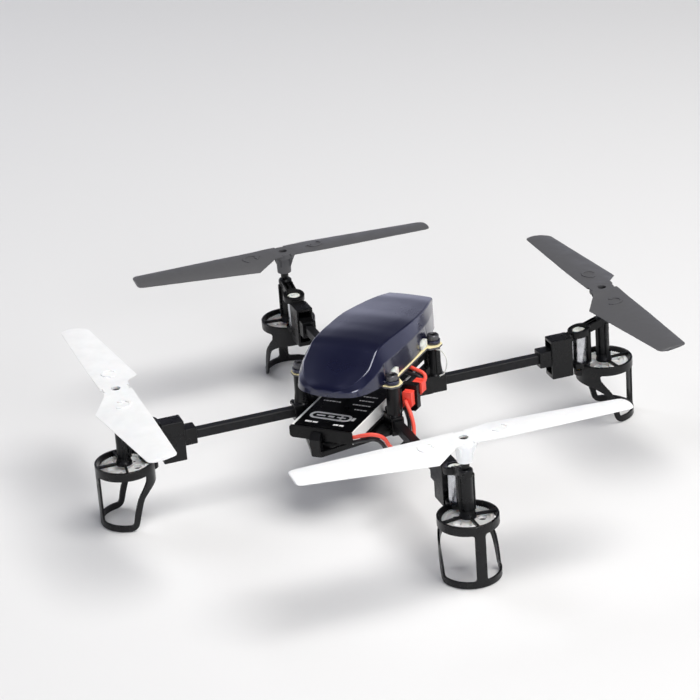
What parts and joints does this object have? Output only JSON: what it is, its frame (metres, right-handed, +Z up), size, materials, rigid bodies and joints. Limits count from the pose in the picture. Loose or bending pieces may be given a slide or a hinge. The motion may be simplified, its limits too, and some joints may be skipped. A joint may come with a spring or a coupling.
{
  "type": "mini palm drone",
  "caption": "Small geared X-frame quadcopter: canopy over a control board, square carbon booms, motor mounts with skids and two-blade rotors that spin.",
  "frame": {"origin": "on the ground plane the skids stand on, under the centre of the frame", "axes": "+Z up, -Y is the nose; +X is to the right of a viewer who faces the nose, and left and right in node names are that viewer's"},
  "size_m": [0.2526, 0.2536, 0.064],
  "materials": {
    "moulded_black": "satin black moulded nylon",
    "carbon_tube": "satin pultruded carbon tube",
    "canopy_navy": "glossy deep navy paint on a thin shell",
    "rotor_white": "satin white moulded plastic",
    "rotor_grey": "satin dark grey moulded plastic",
    "gear_white": "natural acetal, slightly waxy",
    "board": "black solder mask with a tan laminate edge",
    "battery_label": "printed black label over a white foil pouch",
    "red_plastic": "glossy red connector plastic",
    "red_lead": "soft red silicone insulation",
    "black_lead": "soft black silicone insulation",
    "white_plastic": "natural nylon connector",
    "oxide_steel": "black oxide steel",
    "motor_can": "bright nickel plated can with a white end cap",
    "pinion_brass": "machined brass"
  },
  "bodies": {
    "airframe": {"main_frame": "moulded_black", "battery_tray": "moulded_black", "battery_pack": "battery_label", "battery_lead_red": "red_lead", "battery_lead_black": "black_lead", "board_lead_red": "red_lead", "board_lead_black": "black_lead", "connector_bracket": "moulded_black", "battery_plug": "red_plastic", "board_socket": "red_plastic", "control_board": "board", "antenna_wire": "white_plastic", "canopy": "canopy_navy", "motor_plug_front_left": "white_plastic", "canopy_screw_front_left": "oxide_steel", "boom_front_left": "carbon_tube", "motor_mount_front_left": "moulded_black", "landing_skid_front_left": "moulded_black", "motor_front_left": "motor_can", "motor_plug_front_right": "white_plastic", "canopy_screw_front_right": "oxide_steel", "boom_front_right": "carbon_tube", "motor_mount_front_right": "moulded_black", "landing_skid_front_right": "moulded_black", "motor_front_right": "motor_can", "motor_plug_rear_right": "white_plastic", "canopy_screw_rear_right": "oxide_steel", "boom_rear_right": "carbon_tube", "motor_mount_rear_right": "moulded_black", "landing_skid_rear_right": "moulded_black", "motor_rear_right": "motor_can", "motor_plug_rear_left": "white_plastic", "canopy_screw_rear_left": "oxide_steel", "boom_rear_left": "carbon_tube", "motor_mount_rear_left": "moulded_black", "landing_skid_rear_left": "moulded_black", "motor_rear_left": "motor_can"},
    "rotor_unit_front_left": {"rotor_front_left": "rotor_white", "main_gear_front_left": "gear_white", "rotor_shaft_front_left": "oxide_steel", "shaft_collar_front_left": "moulded_black"},
    "pinion_unit_front_left": {"pinion_front_left": "pinion_brass"},
    "rotor_unit_front_right": {"rotor_front_right": "rotor_white", "main_gear_front_right": "gear_white", "rotor_shaft_front_right": "oxide_steel", "shaft_collar_front_right": "moulded_black"},
    "pinion_unit_front_right": {"pinion_front_right": "pinion_brass"},
    "rotor_unit_rear_right": {"rotor_rear_right": "rotor_grey", "main_gear_rear_right": "gear_white", "rotor_shaft_rear_right": "oxide_steel", "shaft_collar_rear_right": "moulded_black"},
    "pinion_unit_rear_right": {"pinion_rear_right": "pinion_brass"},
    "rotor_unit_rear_left": {"rotor_rear_left": "rotor_grey", "main_gear_rear_left": "gear_white", "rotor_shaft_rear_left": "oxide_steel", "shaft_collar_rear_left": "moulded_black"},
    "pinion_unit_rear_left": {"pinion_rear_left": "pinion_brass"}
  },
  "joints": [
    {"name": "rotor_spin_front_left", "type": "hinge", "parent": "airframe", "child": "rotor_unit_front_left", "pos_m": [-0.075, -0.075, 0.045], "axis": [0, 0, 1], "continuous": true},
    {"name": "pinion_spin_front_left", "type": "hinge", "parent": "airframe", "child": "pinion_unit_front_left", "pos_m": [-0.06715, -0.06715, 0.024], "axis": [0, 0, 1], "continuous": true},
    {"name": "rotor_spin_front_right", "type": "hinge", "parent": "airframe", "child": "rotor_unit_front_right", "pos_m": [0.075, -0.075, 0.045], "axis": [0, 0, 1], "continuous": true},
    {"name": "pinion_spin_front_right", "type": "hinge", "parent": "airframe", "child": "pinion_unit_front_right", "pos_m": [0.06715, -0.06715, 0.024], "axis": [0, 0, 1], "continuous": true},
    {"name": "rotor_spin_rear_right", "type": "hinge", "parent": "airframe", "child": "rotor_unit_rear_right", "pos_m": [0.075, 0.075, 0.045], "axis": [0, 0, 1], "continuous": true},
    {"name": "pinion_spin_rear_right", "type": "hinge", "parent": "airframe", "child": "pinion_unit_rear_right", "pos_m": [0.06715, 0.06715, 0.024], "axis": [0, 0, 1], "continuous": true},
    {"name": "rotor_spin_rear_left", "type": "hinge", "parent": "airframe", "child": "rotor_unit_rear_left", "pos_m": [-0.075, 0.075, 0.045], "axis": [0, 0, 1], "continuous": true},
    {"name": "pinion_spin_rear_left", "type": "hinge", "parent": "airframe", "child": "pinion_unit_rear_left", "pos_m": [-0.06715, 0.06715, 0.024], "axis": [0, 0, 1], "continuous": true}
  ],
  "couplings": [
    {"joint": "pinion_spin_front_left", "follows": "rotor_spin_front_left", "ratio": -8.25},
    {"joint": "pinion_spin_front_right", "follows": "rotor_spin_front_right", "ratio": -8.25},
    {"joint": "pinion_spin_rear_right", "follows": "rotor_spin_rear_right", "ratio": -8.25},
    {"joint": "pinion_spin_rear_left", "follows": "rotor_spin_rear_left", "ratio": -8.25}
  ]
}
